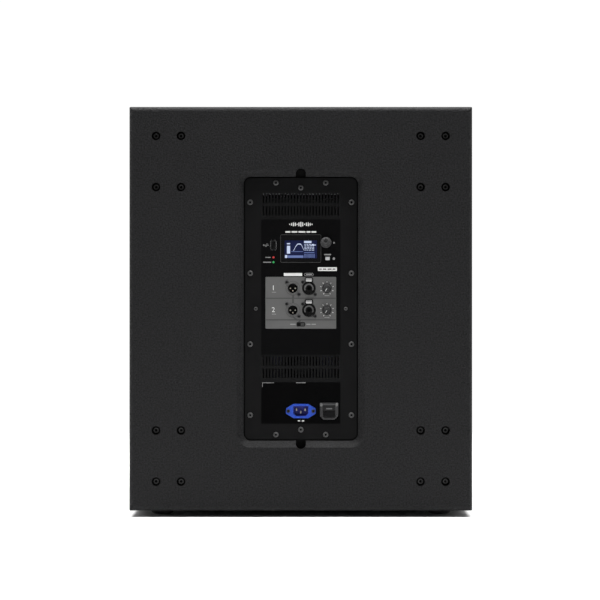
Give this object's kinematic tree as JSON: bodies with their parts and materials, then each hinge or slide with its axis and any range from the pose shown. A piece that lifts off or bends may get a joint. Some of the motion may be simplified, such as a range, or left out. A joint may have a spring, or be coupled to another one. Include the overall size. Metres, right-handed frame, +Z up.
{
  "type": "powered subwoofer",
  "caption": "Floor-standing powered bass-reflex subwoofer with a plate amplifier in a chamfered recess of its black plywood cabinet.",
  "frame": {"origin": "centre of the footprint, on the floor that the feet stand on", "axes": "+Z up; +Y out of the rear panel that holds the amplifier; the grille faces -Y; +X across the width"},
  "size_m": [0.55, 0.72, 0.657],
  "materials": {
    "coated_plywood": "birch plywood under a fine pebbled black coating",
    "bare_plywood": "bare birch plywood",
    "stained_plywood": "birch plywood, stained black",
    "wall_foam": "open foam",
    "foot_rubber": "matte",
    "zinc_steel": "zinc plated",
    "black_screw": "blackened steel, satin",
    "black_casting": "textured black paint",
    "grille_paint": "fine textured black powder coat",
    "grille_foam": "open reticulated foam",
    "basket_paint": "cast aluminium, black paint",
    "cone_paper": "pressed ribbed paper pulp",
    "surround_cloth": "coated cloth",
    "spider_cloth": "resin-dipped cloth",
    "coil_copper": "copper winding",
    "ferrite": "sintered ferrite, matte",
    "plate_steel": "turned steel",
    "gasket_foam": "closed-cell foam",
    "cable_rubber": "matte",
    "panel_paint": "fine textured dark paint",
    "galvanised": "galvanised sheet",
    "label_film": "printed polyester film",
    "window_film": "black printed acrylic",
    "display": "lit blue display",
    "control_metal": "satin nickel",
    "detent_brass": "machined",
    "knob_grey": "soft matte",
    "knob_black": "soft matte",
    "key_grey": "silicone key",
    "lamp_lens": "lens",
    "socket_nickel": "nickel",
    "connector_metal": "satin nickel, dark",
    "connector_black": "moulded nylon",
    "contact_gold": "pale gold flash",
    "inlet_blue": "moulded nylon",
    "switch_plastic": "moulded nylon",
    "rocker_plastic": "moulded nylon",
    "heatsink_aluminium": "extruded",
    "board_resin": "black soldermask",
    "component_sleeve": "printed sleeve",
    "fan_plastic": "moulded"
  },
  "bodies": {
    "cabinet": {"side_panel_left": "coated_plywood", "side_panel_right": "coated_plywood", "top_panel": "coated_plywood", "bottom_panel": "coated_plywood", "rear_panel": "coated_plywood", "front_baffle": "coated_plywood", "port_boards": "bare_plywood", "window_brace": "bare_plywood", "mounting_battens": "stained_plywood", "wall_lining": "wall_foam", "rubber_feet": "foot_rubber", "caster_tee_nuts": "zinc_steel", "caster_plug_screws": "black_screw", "pole_socket": "black_casting", "handle_cup_left": "black_casting", "handle_cup_right": "black_casting", "handle_bars": "black_casting", "trim_screws": "black_screw", "front_grille": "grille_paint", "grille_foam": "grille_foam", "driver_basket": "basket_paint", "driver_surround": "surround_cloth", "driver_spider": "spider_cloth", "magnet_ring": "ferrite", "magnet_plates": "plate_steel", "gaskets": "gasket_foam", "driver_bolts": "black_screw", "speaker_cable": "cable_rubber", "amp_panel": "panel_paint", "amp_housing": "galvanised", "panel_screws": "black_screw", "panel_labels": "label_film", "display_window": "window_film", "display_module": "display", "rotary_controls": "control_metal", "indicator_lamps": "lamp_lens", "usb_socket": "socket_nickel", "xlr_outputs": "connector_metal", "combo_inputs": "connector_black", "connector_pins": "contact_gold", "crossover_switch": "connector_black", "ac_inlet": "inlet_blue", "power_switch_frame": "switch_plastic", "heatsink": "heatsink_aluminium", "circuit_boards": "board_resin", "power_parts": "component_sleeve", "fan_frame": "fan_plastic"},
    "cone_assembly": {"driver_cone": "cone_paper", "dust_cap": "cone_paper", "voice_coil": "coil_copper"},
    "level_1": {"level_knob_1": "knob_black"},
    "level_2": {"level_knob_2": "knob_black"},
    "encoder_ring": {"encoder_rotor": "detent_brass"},
    "encoder_cap": {"encoder_knob": "knob_grey"},
    "home_key": {"home_button": "key_grey"},
    "latch_1": {"combo_latch_1": "socket_nickel"},
    "latch_2": {"combo_latch_2": "socket_nickel"},
    "crossover_knob": {"crossover_slider": "knob_black"},
    "mains_rocker": {"power_rocker": "rocker_plastic"},
    "fan": {"fan_rotor": "fan_plastic"}
  },
  "joints": [
    {"name": "cone_travel", "type": "slide", "parent": "cabinet", "child": "cone_assembly", "axis": [0, -1, 0], "range_m": [-0.01, 0.01], "stiffness_N_per_m": 9000, "deforming": ["driver_surround", "driver_spider"]},
    {"name": "level_1_turn", "type": "hinge", "parent": "cabinet", "child": "level_1", "pos_m": [-0.042, 0.347, 0.3659], "axis": [0, -1, 0], "range_deg": [0, 300]},
    {"name": "level_2_turn", "type": "hinge", "parent": "cabinet", "child": "level_2", "pos_m": [-0.042, 0.347, 0.3307], "axis": [0, -1, 0], "range_deg": [0, 300]},
    {"name": "encoder_turn", "type": "hinge", "parent": "cabinet", "child": "encoder_ring", "pos_m": [-0.0404, 0.347, 0.4392], "axis": [0, -1, 0], "continuous": true},
    {"name": "encoder_push", "type": "slide", "parent": "encoder_ring", "child": "encoder_cap", "axis": [0, -1, 0], "range_m": [0, 0.0005], "stiffness_N_per_m": 1500, "springref_m": -0.0003},
    {"name": "home_push", "type": "slide", "parent": "cabinet", "child": "home_key", "axis": [0, -1, 0], "range_m": [0, 0.0005], "stiffness_N_per_m": 1000, "springref_m": -0.0003},
    {"name": "latch_1_push", "type": "slide", "parent": "cabinet", "child": "latch_1", "axis": [0, -1, 0], "range_m": [0, 0.0015], "stiffness_N_per_m": 1000, "springref_m": -0.0005},
    {"name": "latch_2_push", "type": "slide", "parent": "cabinet", "child": "latch_2", "axis": [0, -1, 0], "range_m": [0, 0.0015], "stiffness_N_per_m": 1000, "springref_m": -0.0005},
    {"name": "crossover_slide", "type": "slide", "parent": "cabinet", "child": "crossover_knob", "axis": [1, 0, 0], "range_m": [0, 0.005]},
    {"name": "power_rock", "type": "hinge", "parent": "cabinet", "child": "mains_rocker", "pos_m": [-0.0454, 0.347, 0.1687], "axis": [-1, 0, 0], "range_deg": [0, 16]},
    {"name": "fan_spin", "type": "hinge", "parent": "cabinet", "child": "fan", "pos_m": [0, 0.337, 0.239], "axis": [0, 1, 0], "continuous": true}
  ]
}
